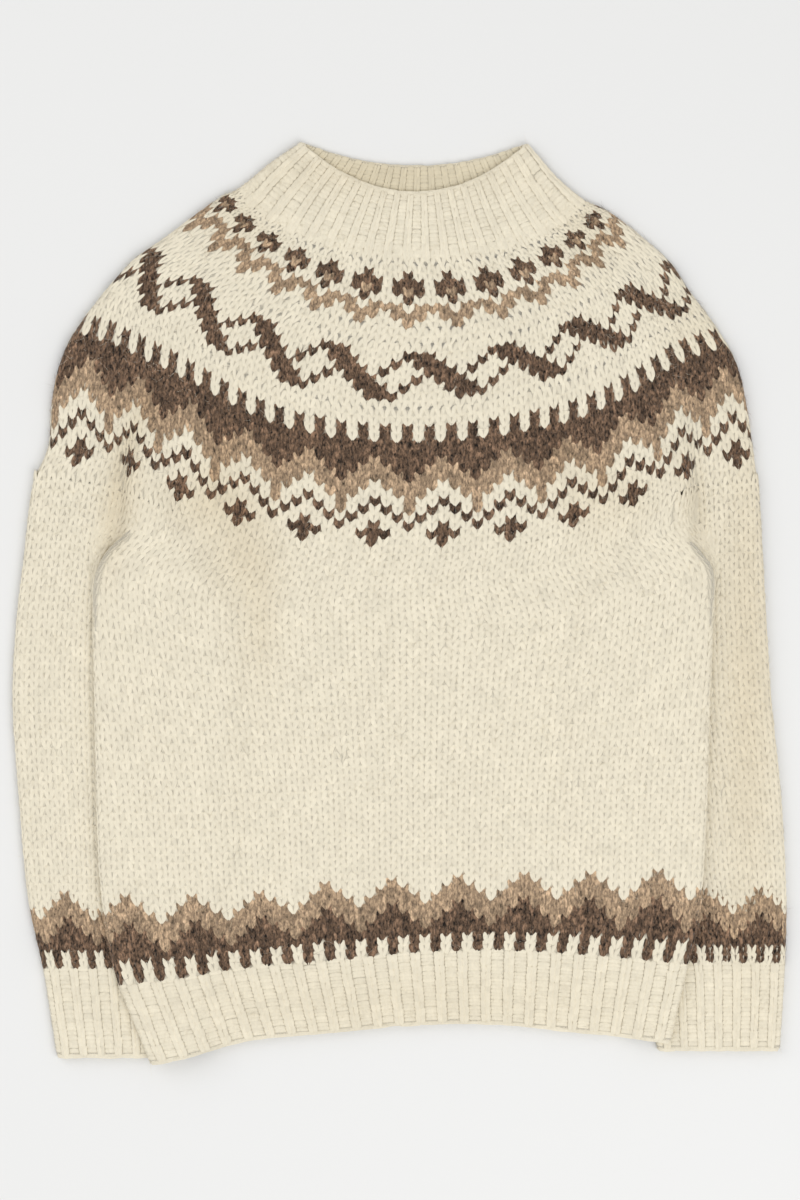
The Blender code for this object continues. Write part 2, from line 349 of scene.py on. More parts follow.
# start is where the first row begins, fuzz a share of the loose fibres, rests what it lies on
yoke = dict(
    name="yoke", rows=37, counts=[(0, 72), (18, 68), (26, 60), (28, 53), (36, 45)],
    # how much wider a stitch lies at the centre front, at these rows
    swell=([0, 14, 21, 31, 37], [0.12, 0.14, 0.25, 0.30, 0.26]),
    bandRow=1, waveRow=19, waveStart=35, crownRow=28, crownStart=25,
    slides=[0.3, 0.8, 0, -0.3, -0.1],   # how far each band stands to the right, in stitches
    # how far the left side is pulled out past even stitches, in shares of the front
    pull=([14, 19, 26, 31, 36], [0, 0.025, 0.022, 0.009, 0.004]), pullFrom=0.3, pullReach=0.2,
    start=firstRow, fuzz=30, rests=onSleeves, ring=ringOfYoke, lift=yokeLift, air=frontAir,
)
body = dict(
    name="body", rows=52, stitches=55, pitch=5.74, ease=1.8, peak=2, joinFrom=14,
    start=firstRow, fuzz=34, rests=onSleeves, ring=ringOfBody, lift=bodyLift, air=frontAir,
)
bodyTopEdges = bodySides["leftX"][-1], bodySides["rightX"][-1]
sleeves = dict(
    rows=58, stitches=18, joinRows=16,
    pitches=([0, 12, 30, 58], [5.75, 6.6, 7.2, 6.6]),   # width of a stitch at these rows
    start=firstRow, fuzz=12, rests=[], lift=noLift, air=flatAir,
)
hemRib = dict(
    name="hem_rib", rows=10, stitches=49, edgeRow=0, start=firstRow, fuzz=6,
    rests=["cuff_left", "cuff_right"], ring=ringOfHem, lift=bodyLift, air=flatAir,
)
cuffs = dict(rows=10, stitches=15, edgeRow=0, start=firstRow, fuzz=1.5, rests=[],
             lift=noLift, air=flatAir)
collar = dict(
    name="collar", rows=8, firstRow=37, stitches=36, edgeRow=8, start=0, fuzz=5,
    rests=["yoke"], lift=noLift, air=flatAir,
    ring=lambda row, share: ringOfYoke(row + collar["firstRow"], share),
    # the inner face of the far side, where the opening shows it: its rows, painted shade and depth
    inside=range(2, 8), insidePaintedShade=(0.90, 0.885, 0.84), insideLift=0.6,
)


def arm(side, edges, cuffTop, peak):
    name, gap = "left" if side < 0 else "right", cloth["seam"] / 2
    return (
        dict(sleeves, name="sleeve_" + name, side=side, edges=edges, cuffTop=cuffTop, peak=peak,
             ring=ringOfArm(edges, sleeves["rows"], cuffTop + gap, joinLine)),
        dict(cuffs, name="cuff_" + name,
             ring=ringOfArm(edges, cuffs["rows"], edges["y"][0], lambda x: cuffTop - gap + 0 * x)))


sleeveLeft, cuffLeft = arm(-1, leftSleeve, leftCuffTop, 4)
sleeveRight, cuffRight = arm(1, rightSleeve, rightCuffTop, 3)
areas = [yoke, body, sleeveLeft, sleeveRight, hemRib, collar, cuffLeft, cuffRight]

# charts, top row first: . cream, M mid brown, D dark brown
yokeBand = """
D.D.D. D.D.D. DDDDDD DDDDDD DDDMDD DDMMMD DMMMMM MMM.MM MM...M M..D.. M.D.D. .D...D D..D..
..DDD. ...D..
""".split()[::-1]
waveBand = "D.....DD DD...D.D DDD.D... .DDD...D ..DDD.D. ...DDD..".split()[::-1]
crownBand = ".D.. DDD. DMD. .D.. M.MM MMM. .M..".split()[::-1]
edgeBand = """
...M.. ..MMM. .MMMMM MMMDMM MMDDDM MDDDDD DDDDDD .D.D.D .D.D.D
""".split()[::-1]
yarnNames = ".MD"

yokeFirsts, yokeCounts = np.array(yoke["counts"]).T


def bandOf(row):
    # which of the yoke's bands a row belongs to; each keeps one count of stitches
    return np.clip(np.searchsorted(yokeFirsts, row, side="right") - 1, 0, None)


def stitchCount(area, row):
    return yokeCounts[bandOf(row)] if area is yoke else area["stitches"] + 0 * row


def firstCount(area):
    return int(stitchCount(area, np.array([0]))[0])


def slideOf(area, row):
    return np.array(yoke["slides"], float)[bandOf(row)] if area is yoke else 0.0 * row


# how finely the yoke's courses are measured, and how far past the folds, in shares
courseNet = dict(below=1, above=2, rowStep=0.5, past=0.1, shares=241, evenPast=0.08, evens=233)
courseTable = {}


def measureCourses():
    # how far along each course of the yoke a share of its width lies, read once
    rows = np.arange(-courseNet["below"], yoke["rows"] + courseNet["above"] + 0.1,
                     courseNet["rowStep"])
    shares = np.linspace(-courseNet["past"], 1 + courseNet["past"], courseNet["shares"])
    points = clothAt(yoke, rows[:, None], shares[None, :])
    steps = np.linalg.norm(np.diff(points, axis=1), axis=-1)
    length = np.concatenate([np.zeros((len(rows), 1)), np.cumsum(steps, axis=1)], axis=1)
    start, end = (np.array([np.interp(edge, shares, line) for line in length])[:, None]
                  for edge in (0, 1))
    part = (length - start) / (end - start)
    even = np.linspace(-courseNet["evenPast"], 1 + courseNet["evenPast"], courseNet["evens"])
    rowZero = int(courseNet["below"] / courseNet["rowStep"])
    courseTable.update(rows=rows, even=even, shares=shares, part=part,
                       start=float((end - start)[rowZero, 0]),
                       share=np.array([np.interp(even, line, shares) for line in part]))


def readCourses(layer, columns, row, at):
    return readNet(layer, courseTable["rows"], columns, row, at, (True, False))


def swellAt(row):
    return np.interp(row, *yoke["swell"])


def swollen(row, place):
    # a share of the stitches as a share of the course, whose middle stitches lie wider
    away, swell = 2 * place - 1, swellAt(row)
    return 0.5 * (1 + (1 + swell) * away - swell * away * np.abs(away))


def pullAt(row, place):
    reach = smoothStep((yoke["pullFrom"] - place) / yoke["pullReach"])
    return np.interp(row, *yoke["pull"]) * reach


def stitchShare(area, row, place):
    # share of the front from fold to fold, for a place counted in shares of its stitches
    if area is body:
        return bodyPlace(row, place)
    if "pitches" in area:
        return armPlace(area, row, place)
    if area is not yoke:
        return place + 0 * row
    part = swollen(row, place - pullAt(row, place))
    return readCourses(courseTable["share"], courseTable["even"], row + 0 * part, part + 0 * row)


def yokeArc(place):
    # how far round the yoke's first course a place of its stitches lies
    return courseTable["start"] * swollen(0, place)


def armPlace(area, row, place):
    # stitches counted from the sleeve's outer fold, which run on into the yoke's at the top
    edges, cuffTop, side = area["edges"], area["cuffTop"], area["side"]
    middle = (edges["outerX"][-1] + edges["innerX"][-1]) / 2
    y = mix(cuffTop, float(joinLine(np.array([middle]))[0]), np.clip(row / area["rows"], 0, 1))
    width = np.abs(readTable(edges, "y", "outerX", y) - readTable(edges, "y", "innerX", y))
    column, slide = place * area["stitches"], yoke["slides"][0]
    joined = yokeArc((column - side * slide) / yoke["counts"][0][1])
    meet = smoothStep((row - area["rows"] + sleeves["joinRows"]) / sleeves["joinRows"])
    run = mix(column * np.interp(row, *area["pitches"]), joined, meet)
    part = run / (width + (math.pi - 2) * foldRadius)
    return part if side < 0 else 1 - part


def bodyPlace(row, place):
    # even stitches above the hem, which run on into the yoke's own stitches at the top
    count = yoke["counts"][0][1]
    column = place * body["stitches"] - body["stitches"] / 2 + count / 2 + 0.5
    joined = stitchShare(yoke, 0 * row, (column + yoke["slides"][0]) / count)
    top = mix(*courseEnds(0), joined) - bodyTopEdges[0]
    top = top / (bodyTopEdges[1] - bodyTopEdges[0])
    return mix(place, top, smoothStep((row - body["joinFrom"]) / (body["rows"] - body["joinFrom"])))


def placeOfShare(area, row, share):
    if area is not yoke:
        return share
    part = readCourses(courseTable["part"], courseTable["shares"], row, share)
    away, swell = 2 * part - 1, swellAt(row)
    reach = ((1 + swell) - np.sqrt((1 + swell) ** 2 - 4 * swell * np.abs(away))) / (2 * swell)
    place = 0.5 * (1 + np.sign(away) * reach)
    return place + pullAt(row, place)


# how many rows higher the photographed rows run at a place than the frame's even courses
rowDrift = dict(
    netX=np.arange(-290, 291, 5.0), netRows=np.arange(-1, 39, 0.5), smoothing=(5, 7), rounds=2,
    fadeRows=24,   # over so many rows the body and the sleeves follow the yoke
    x=[-245, -215, -190, -165, -140, -120, -100, -60, 0, 60, 100, 125, 150, 165, 185, 205, 235],
    rows=[-1, 2.5, 15, 23, 30, 33, 37.5],
    drift=[
        [0.3, 0.5, 0.6, 0.2, -0.1, -0.1, 0, 0, 0, 0, -0.3, -0.5, -0.7, -0.7, -0.2, 0.2, 0.3],
        [0.7, 1.1, 1.6, 0.5, -0.35, -0.2, 0, 0, 0, -0.2, -0.7, -1.0, -1.5, -1.5, -0.5, 0.5, 0.7],
        [3.6, 3.8, 3.3, 3.0, 2.7, 1.6, 0.8, 0.3, 0, 0, -0.3, -0.5, 0, 0.6, 1.9, 2.9, 2.6],
        [2.5, 2.4, 2.2, 2.0, 1.6, 1.0, 0.4, 0.2, 0, 0.5, 1.0, 1.5, 2.3, 2.8, 3.0, 3.1, 3.1],
        [1.5, 1.5, 1.5, 1.5, 1.3, 1.1, 0.7, 0.2, 0, 0.2, 0.6, 1.0, 1.8, 2.2, 2.4, 2.4, 2.4],
        [1.2, 1.2, 1.2, 1.2, 1.2, 1.2, 0.8, 0.2, 0, 0.1, 0.4, 1.1, 1.7, 1.7, 1.7, 1.7, 1.7],
        [0] * 17,
    ],
)

# the same for the rows above the hem
hemDrift = dict(
    x=[-205, -187, -143, -100, -54, -7, 42, 90, 134, 178, 200],
    rows=[0, 2, 5, 9, 24],
    drift=[
        [0.2, 0.2, 0.1, 0, 0, 0, 0, 0, 0, 0.1, 0.1],
        [0.9, 0.8, 0.3, 0, 0.2, 0, 0, 0.1, 0.2, 0.5, 0.6],
        [1.4, 1.2, 0.5, -0.1, 0.5, 0.2, 0, 0.6, 0.8, 1.5, 1.7],
        [1.7, 1.5, 0.7, 0, 0.7, 0.4, 0.3, 0.7, 1.1, 1.9, 2.1],
        [0] * 11,
    ],
)


def hemDriftAt(row, x):
    lines = np.array([np.interp(x, hemDrift["x"], line) for line in hemDrift["drift"]])
    total = 0 * row + 0 * x
    for step, (low, high) in enumerate(zip(hemDrift["rows"], hemDrift["rows"][1:])):
        part = np.clip((row - low) / (high - low), 0, 1)
        total = total + (lines[step + 1] - lines[step]) * part
    return lines[0] + total


def softenDrift():
    # the table read on an even net and smoothed, so that the rows bend gently
    x, rows = rowDrift["netX"], rowDrift["netRows"]
    net = np.array([np.interp(x, rowDrift["x"], line) for line in rowDrift["drift"]])
    net = np.array([np.interp(rows, rowDrift["rows"], net[:, k]) for k in range(len(x))]).T
    for step in range(rowDrift["rounds"]):
        for axis, reach in enumerate(rowDrift["smoothing"]):
            pad = [(reach // 2, reach // 2) if a == axis else (0, 0) for a in (0, 1)]
            wide = np.pad(net, pad, mode="edge")
            net = sum(np.take(wide, np.arange(k, k + net.shape[axis]), axis) for k in range(reach))
            net = net / reach
    rowDrift["net"] = net


def driftAt(area, row, x):
    # how far the rows are bent here, which ribs aren't
    if "edgeRow" in area:
        return 0 * row
    at, fade = row, 1.0
    if area is not yoke:
        at = 0 * row
        fade = smoothStep((row - area["rows"] + rowDrift["fadeRows"]) / rowDrift["fadeRows"])
    drift = fade * readNet(rowDrift["net"], rowDrift["netRows"], rowDrift["netX"], at, x,
                           (True, True))
    return drift + hemDriftAt(row, x) if area is body else drift


softenDrift()
measureCourses()


def chartColour(chart, row, column):
    rows, width = len(chart), len(chart[0])
    marks = np.array([[yarnNames.index(mark) for mark in line] for line in chart])
    inside = (row >= 0) & (row < rows)
    return np.where(inside, marks[np.clip(row, 0, rows - 1), np.mod(column, width)], 0)


def yarnAt(area, row, column):
    # which of the three yarns knits this stitch
    if area is yoke:
        number = bandOf(row)
        band = chartColour(yokeBand, row - yoke["bandRow"], column)
        wave = chartColour(waveBand, row - yoke["waveRow"], column - yoke["waveStart"])
        crown = chartColour(crownBand, row - yoke["crownRow"], column - yoke["crownStart"])
        return np.where(number == 0, band, np.where(number == 1, wave, crown))
    if "peak" in area:
        return chartColour(edgeBand, row, column - area["peak"] + len(edgeBand[0]) // 2)
    return 0 * row


# The frame stands a little off the tables' zero
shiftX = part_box("yoke")[0][0] * 1000 - float(readTable(courses, "row", "leftX", seamRows))
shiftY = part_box("collar")[1][1] * 1000 - courses["leftY"][-1]


# Materials

class Value:
    # a socket that adds Math nodes where it stands in an expression
    def __init__(self, finish, socket):
        self.finish, self.socket = finish, socket

    def maths(self, operation, *values):
        return self.finish.add("ShaderNodeMath", dict(operation=operation),
                               dict(enumerate(values)))

    def __add__(self, other): return self.maths("ADD", self, other)
    def __radd__(self, other): return self.maths("ADD", other, self)
    def __sub__(self, other): return self.maths("SUBTRACT", self, other)
    def __rsub__(self, other): return self.maths("SUBTRACT", other, self)
    def __mul__(self, other): return self.maths("MULTIPLY", self, other)
    def __rmul__(self, other): return self.maths("MULTIPLY", other, self)
    def __abs__(self): return self.maths("ABSOLUTE", self)


class Finish:
    # one material; add puts in a node, sets it and feeds its sockets
    def __init__(self, name, **surface):
        self.material = bpy.data.materials.new(name)
        self.material.use_nodes = True
        self.nodes = self.material.node_tree.nodes
        self.shader = self.nodes["Principled BSDF"]
        self.feed(self.shader, surface)

    def feed(self, node, values):
        for name, value in values.items():
            key = name.replace("_", " ") if isinstance(name, str) else name
            if isinstance(value, Value):
                self.material.node_tree.links.new(value.socket, node.inputs[key])
            else:
                node.inputs[key].default_value = value

    def add(self, kind, settings=None, values=None, output=0):
        node = self.nodes.new(kind)
        for name, value in (settings or {}).items():
            setattr(node, name, value)
        self.feed(node, values or {})
        return Value(self, node.outputs[output])

    def place(self):
        return self.add("ShaderNodeTexCoord", output=3)

    def times(self, first, second):
        return self.add("ShaderNodeVectorMath", dict(operation="MULTIPLY"), {0: first, 1: second})


wool = dict(
    cream=(0.77, 0.707, 0.565), mid=(0.37, 0.262, 0.168), dark=(0.122, 0.075, 0.047),
    heather=(0.035, 0.5, 0.85),   # how much lighter and darker the fibres of each yarn are
    roughness=0.92, sheen=0.45, sheenRoughness=0.5, specular=0.15,
    softness=0.65, glow=1.2, softFrom=-0.3, softSpan=0.5,
    fibreScale=620, mottleScale=60, streak=(1, 0.45, 1),
    base=0.94, fibreShade=8, mottleShade=0.12, bump=0.8, fibreBump=0.00025,
)
# the stitches drawn on the cloth: where a leg stands, how sharp it is, and its painted shade,
# lighter along a leg's ridge and darker between legs
drawn = dict(foot=0.10, spread=0.18, sharpness=6, base=0.84, ridge=0.14, fibreShade=0.12,
             fibreHeight=0.2, bump=1.0, ridgeBump=0.001)


def startWool(name, stretch, **surface):
    # what all wool shares: its surface, the colour of its yarn and the noise of its fibres
    finish = Finish(name, Roughness=wool["roughness"], Sheen_Roughness=wool["sheenRoughness"],
                    Specular_IOR_Level=wool["specular"], **surface)
    yarn = finish.add("ShaderNodeAttribute", dict(attribute_name="yarnColour"))
    fibre = finish.add("ShaderNodeTexNoise", None,
                       dict(Vector=finish.times(finish.place(), stretch),
                            Scale=wool["fibreScale"], Detail=3.0, Roughness=0.7))
    return finish, yarn, fibre


def endWool(finish, yarn, shade, height, strength, distance):
    grey = finish.add("ShaderNodeCombineXYZ", None, {0: shade, 1: shade, 2: shade})
    bump = finish.add("ShaderNodeBump", None, dict(Strength=strength, Distance=distance,
                                                   Height=height))
    finish.feed(finish.shader, dict(Base_Color=finish.times(yarn, grey), Normal=bump))
    return finish.material


def woolFinish(name, sheen):
    finish, yarn, fibre = startWool(name, wool["streak"], Sheen_Weight=sheen,
                                    Sheen_Tint=(1.0, 0.96, 0.88, 1))
    mottle = finish.add("ShaderNodeTexNoise", None,
                        dict(Vector=finish.place(), Scale=wool["mottleScale"], Detail=2.0))
    heather = Value(finish, yarn.socket.node.outputs["Alpha"])
    shade = (wool["base"] + (fibre - 0.5) * heather * wool["fibreShade"]
             + mottle * wool["mottleShade"])
    return endWool(finish, yarn, shade, fibre, wool["bump"], wool["fibreBump"])


def shellFinish(name):
    # the cloth's hidden faces: each cell of the map is one stitch with its two legs, drawn in bump
    # and in painted shade
    finish, yarn, fibre = startWool(name, (1, 1, 1), Sheen_Weight=wool["sheen"])
    stitches = finish.add("ShaderNodeUVMap", dict(uv_map="stitches"))
    parts = finish.add("ShaderNodeSeparateXYZ", None, {0: stitches})
    across, up = (Value(finish, parts.socket.node.outputs[k]) for k in (0, 1))
    middle = abs(across.maths("FRACT", across) - 0.5)
    legMiddle = drawn["foot"] + up.maths("FRACT", up) * drawn["spread"]
    away = abs(middle - legMiddle) * drawn["sharpness"]
    ridge = 1 - away.maths("MINIMUM", away, 1)
    rounded = ridge.maths("POWER", ridge, 0.5)
    # painted shade: a leg's ridge lighter, the hollows beside it darker
    shade = drawn["base"] + rounded * drawn["ridge"] + fibre * drawn["fibreShade"]
    height = rounded + fibre * drawn["fibreHeight"]
    return endWool(finish, yarn, shade, height, drawn["bump"], drawn["ridgeBump"])


yarnWool = woolFinish("knitted_wool", wool["sheen"])
clothWool = shellFinish("knitted_cloth")
fuzzWool = woolFinish("wool_fuzz", 0.5)


# Meshes

# painted shade and tone, deeper and yellower: shade in the creases, valleys and inside the collar,
# and the right sleeve's darker yarn; centre, reach across and along, turn, strength
shadeAndTone = [
    (-196, 70, 13, 50, 12, 0.8), (-186, 120, 9, 30, 20, 0.5), (202, 80, 12, 45, -6, 0.4),
    (-128, 95, 20, 42, 28, 0.35), (118, 84, 18, 40, -24, 0.35), (243, -60, 20, 180, 0, 0.75),
    (-10, 300, 95, 17, 0, 0.5), (0, -280, 190, 26, 0, 0.3), (-110, 262, 26, 22, 30, 0.4),
    (132, 256, 24, 24, -30, 0.5), (206, 190, 22, 26, -20, 0.35), (-128, 68, 34, 20, 0, 0.6),
    (-110, 34, 26, 30, 15, 0.6), (-98, -14, 15, 42, 0, 0.45), (150, 74, 24, 20, 0, 0.45),
    (-70, 112, 20, 18, 0, 0.25),
]
shadeAndToneColour = np.array([0.88, 0.84, 0.775])


def shadeAndToneAt(points):
    share = 0 * points[..., 0]
    for x, y, across, along, turn, strength in shadeAndTone:
        c, s = math.cos(math.radians(turn)), math.sin(math.radians(turn))
        u, v = points[..., 0] - x, points[..., 1] - y
        share = share + strength * np.exp(-((u * c - v * s) / across) ** 2
                                          - ((u * s + v * c) / along) ** 2)
    return mix(1.0, shadeAndToneColour, np.clip(share, 0, 1)[..., None])


def yarnColours(marks, scale, points):
    # linear colour of each stitch; the last channel says how heathered its yarn is
    palette = np.array([wool["cream"], wool["mid"], wool["dark"]])
    heather = np.array(wool["heather"])[marks]
    # painted shade in creases, valleys and inside the collar, and the right sleeve's darker tone
    colour = palette[marks] * scale[..., None] * shadeAndToneAt(points)
    return np.concatenate([colour, heather[..., None]], axis=-1)


def softenNormals(mesh, clothNormals):
    # yarn has no hard skin: light runs over a stitch more softly than over a bead
    own = np.empty(len(mesh.vertices) * 3, np.float32)
    mesh.vertex_normals.foreach_get("vector", own)
    own = own.reshape(-1, 3)
    if clothNormals is None:
        clothNormals = own.copy()
    facing = (own * clothNormals).sum(-1, keepdims=True)
    upward = clothNormals + np.array([0, 0, wool["glow"]])
    soft = wool["softness"] * upward * smoothStep((facing - wool["softFrom"]) / wool["softSpan"])
    mesh.normals_split_custom_set_from_vertices(unit(own + soft))


def makeMesh(name, points, faces, colours, finish, uv=None, clothNormals=None, soften=True):
    # points in table millimetres; colours one for each point
    mesh = bpy.data.meshes.new(name)
    place = (points + np.array([shiftX, shiftY, 0])) * 0.001
    mesh.from_pydata(place.reshape(-1, 3), [], faces)
    mesh.polygons.foreach_set("use_smooth", [True] * len(mesh.polygons))
    layer = mesh.attributes.new("yarnColour", "FLOAT_COLOR", "POINT")
    layer.data.foreach_set("color", colours.astype(np.float32).ravel())
    if uv is not None:
        corner = np.empty(len(mesh.loops), int)
        mesh.loops.foreach_get("vertex_index", corner)
        mesh.uv_layers.new(name="stitches").data.foreach_set("uv", uv[corner].ravel())
    mesh.materials.append(finish)
    mesh.update()
    if soften:
        softenNormals(mesh, clothNormals)
    piece = bpy.data.objects.new(name, mesh)
    bpy.context.scene.collection.objects.link(piece)
    return piece


def leafMesh(segments, rings):
    # one small closed ball, read as arrays: place along, angle round, faces
    bpy.ops.object.select_all(action="DESELECT")
    bpy.ops.mesh.primitive_uv_sphere_add(segments=segments, ring_count=rings, radius=1)
    ball = bpy.context.object
    bpy.ops.object.mode_set(mode="EDIT")
    bpy.ops.mesh.select_all(action="SELECT")
    bpy.ops.mesh.quads_convert_to_tris()
    bpy.ops.object.mode_set(mode="OBJECT")
    points = np.array([vertex.co[:] for vertex in ball.data.vertices])
    # the cut faces come in another order each run, so they are put in one
    faces = sorted(tuple(np.roll(face.vertices[:], -np.argmin(face.vertices[:])))
                   for face in ball.data.polygons)
    bpy.data.objects.remove(ball)
    return points, np.array(faces)


legPoints, legFaces = leafMesh(5, 4)
leafAlong, leafAngle = legPoints[:, 2], np.arctan2(legPoints[:, 1], legPoints[:, 0])
# half of one stitch from its foot to its head, in rows along and stitches across
leg = dict(
    along=[-0.5, -0.14, 0.35, 0.84, 1.26], across=[0.06, 0.13, 0.25, 0.355, 0.39],
    width=[0.3, 0.66, 0.9, 0.9, 0.55], height=[0.0, 0.14, 0.1, -0.06, -0.3],
    halfWidth=0.252, halfHeight=0.78, depth=0.43,
)
# the same on a rib: narrower and standing up
ribLeg = dict(
    along=[-0.45, -0.12, 0.35, 0.82, 1.12], across=[0.16, 0.19, 0.215, 0.225, 0.21],
    width=[0.5, 0.88, 1.0, 0.97, 0.65], height=[0.12, 0.2, 0.18, 0.0, -0.2],
    halfWidth=0.245, halfHeight=1.0, depth=0.3,
)
# the purl bumps between two ribs, and the cast-off chain along an edge
purl = dict(span=0.31, halfRow=0.34, halfHeight=0.55, depth=0.55, hump=0.2, arch=0.12)
chain = dict(span=0.62, halfRow=0.34, halfHeight=2.0, depth=1.75, hump=0.0, arch=0.0)
tiny = 1e-9
# how much stitches differ, and how much lighter each yarn's are at the head than at the foot:
# painted shade where a leg comes out under the stitch below
jitter = dict(across=0.025, along=0.035, size=0.05, height=0.07, shade=(0.022, 0.16, 0.26),
              paintedShadeAlong=(0, 0.12, 0.2), shadeRange=(0.7, 1.35))
leafStops = [-1, -0.7071, 0, 0.7071, 1]   # where the rings of a leaf lie along it
fullWidth, mostRise = 7, 1.1              # a narrow stitch is flatter than one of this width
tableGap = 0.12                           # the lowest wool stays this far above the table
gridFine = 4                              # grid lines to a row and to a stitch
edgeReach = 0.04                          # stitches go round the folds so far, in shares
# where the body's folded edge lies out flat: its rows, how far its stitches reach, and the
# thin layer that carries them
armpit = dict(fromRow=36, toRow=49, strip=40, edge=-0.5, reach=0.07, reachRow=45,
              layerRow=40, layerShares=(-0.06, 0.03), layerDepth=0.45, layerWall=0.5, shade=0.95)


def gridOf(area, rowFrom, rowTo, shareFrom, shareTo, stitches, depth=0):
    # the cloth's face read once on a fine grid, with outward normals
    rows = np.arange(rowFrom, rowTo + 0.01, 1 / gridFine)
    shares = np.linspace(shareFrom, shareTo, int((shareTo - shareFrom) * stitches * gridFine) + 2)
    points = clothAt(area, rows[:, None], shares[None, :], depth)
    if area is body:
        points = openArmpit(points, rows, shares)
    normals = np.cross(np.gradient(points, axis=1), np.gradient(points, axis=0))
    length = np.linalg.norm(normals, axis=-1, keepdims=True)
    # past an end the points stand still, and the row before lends its normals
    upward = [(i, i - 1) for i in range(1, len(rows))]
    downward = [(i, i + 1) for i in range(len(rows) - 2, -1, -1)]
    for i, lender in upward + downward:
        still = length[i] < tiny
        normals[i] = np.where(still, normals[lender], normals[i])
        length[i] = np.where(still, length[lender], length[i])
    return dict(rows=rows, shares=shares, points=points, normals=normals / np.maximum(length, tiny))


def openArmpit(points, rows, shares):
    # near the yoke the folded edge of the body lies out flat, down to the sleeve
    opened = smoothStep((rows - armpit["fromRow"]) / (armpit["toRow"] - armpit["fromRow"]))
    points = points.copy()
    for edge, turn, tuck in ((0.0, -1, leftTuck), (1.0, 1, rightTuck)):
        at = np.argmin(np.abs(shares - edge))
        inner = at - turn * armpit["strip"]
        past = (shares - edge) * turn
        side = points[:, at, 0]
        length = np.abs(side - points[:, inner, 0]) + (math.pi / 2 - 1) * foldRadius
        step = length / np.abs(shares[at] - shares[inner])
        run = past[None, :] * step[:, None] + math.pi / 2 * foldRadius
        flatX = side[:, None] - turn * foldRadius + turn * np.maximum(run, 0)
        use = opened[:, None] * ((run > 0) & (past > armpit["edge"])[None, :])
        flatY = bodyShare(rows[:, None] + 0 * flatX, flatX)[1]
        lift = overlapLift * tuckShare(tuck, flatX, 0 * flatX)
        flatZ = sleeveTop + lift + creaseAt(flatX, flatY)
        for axis, flat in enumerate((flatX, flatY, flatZ)):
            points[..., axis] = mix(points[..., axis], flat, use)
    return points


def readGrid(grid, row, share):
    point, normal = (readNet(grid[name], grid["rows"], grid["shares"], row, share)
                     for name in ("points", "normals"))
    return point, unit(normal)


def onCloth(point, normal, height, face):
    # small closed pieces set on the cloth, with the cloth's normals at their points
    points = point + face * normal * height[..., None]
    points[..., 2] = np.maximum(points[..., 2], tableGap)
    points = points.reshape(-1, 3)
    starts = np.arange(0, len(points), len(legPoints))
    faces = (legFaces[None] + starts[:, None, None]).reshape(-1, 3)
    # they are turned so that their own faces point out of them
    if volume(points, faces[:len(legFaces)]) <= 0:
        faces = faces[:, ::-1]
    return points, faces, face * normal.reshape(-1, 3)


def stitchLegs(area, grid, rows, columns, shape, dice, face=1):
    # two legs for every stitch, bent to the cloth
    total = stitchCount(area, rows)
    slide = dice.normal(0, 1, (4, len(rows), 1, 1))
    legs = np.array([-1, 1])[None, :, None]
    along, across, width, height = (np.interp(leafAlong, leafStops, shape[name])
                                    for name in ("along", "across", "width", "height"))
    width = np.where(np.abs(leafAlong) > 0.99, 0, width)
    mid = rows + area["start"] + 0.5
    slid = columns + 0.5 + slideOf(area, rows)
    here, there = (readGrid(grid, mid, stitchShare(area, mid, (slid + more) / total))[0]
                   for more in (0, 0.5))
    stitchWidth = 2 * np.linalg.norm(there - here, axis=-1)[:, None, None]
    size = 1 + jitter["size"] * slide[2]
    side = np.cos(leafAngle) * width * shape["halfWidth"] * size
    flatness = np.minimum(stitchWidth / fullWidth, mostRise)
    rise = np.sin(leafAngle) * width * shape["halfHeight"] * size * flatness
    a = legs * across + side + jitter["across"] * slide[0]
    b = along + jitter["along"] * slide[1] + 0 * legs
    h = height - shape["depth"] + rise + jitter["height"] * slide[3]
    row = rows[:, None, None] + area["start"] + b + 0 * a
    share = stitchShare(area, row, (slid[:, None, None] + a) / total[:, None, None])
    row = row + driftAt(area, row, readGrid(grid, row, share)[0][..., 0])
    return onCloth(*readGrid(grid, row, share), h + 0 * a, face)


def bars(grid, rows, columns, count, shape, dice, face=1):
    # short bumps that lie across the rows, count to the front's width
    slide = dice.normal(0, 1, (3, len(rows), 1))
    width = np.interp(np.abs(leafAlong), [0, 0.7071, 0.99, 1], [1, 0.82, 0.1, 0])
    bow = 1 - leafAlong ** 2
    size = 1 + jitter["size"] * slide[0]
    share = (columns[:, None] + 0.5) / count + 1 / count * shape["span"] * 2 * leafAlong
    row = (rows[:, None] + np.cos(leafAngle) * width * shape["halfRow"] * size
           + shape["arch"] * bow + jitter["along"] * slide[1])
    h = (shape["hump"] * bow - shape["depth"]
         + np.sin(leafAngle) * width * shape["halfHeight"] * size + jitter["height"] * slide[2])
    return onCloth(*readGrid(grid, row + 0 * share, share + 0 * row), h, face)


def volume(points, faces):
    a, b, c = (points[faces[:, k]] for k in range(3))
    return float(np.einsum("ij,ij->i", a, np.cross(b, c)).sum() / 6)


def shadeOf(marks, dice):
    spread = dice.normal(0, 1, len(marks)) * np.array(jitter["shade"])[marks]
    return np.clip(1 + spread, *jitter["shadeRange"])


hiddenFrom = 14   # this far inside the body's edge
endMargin = 0.005


def besideBody(area, points):
    # which stitches of a sleeve the body doesn't hide
    x, y = points[:, 0], points[:, 1]
    share = (y - hemTop(x)) / (joinLine(x) - hemTop(x))
    edge = readTable(bodySides, "share", "leftX" if area["side"] < 0 else "rightX", share)
    return (x - edge) * area["side"] + hiddenFrom > 0


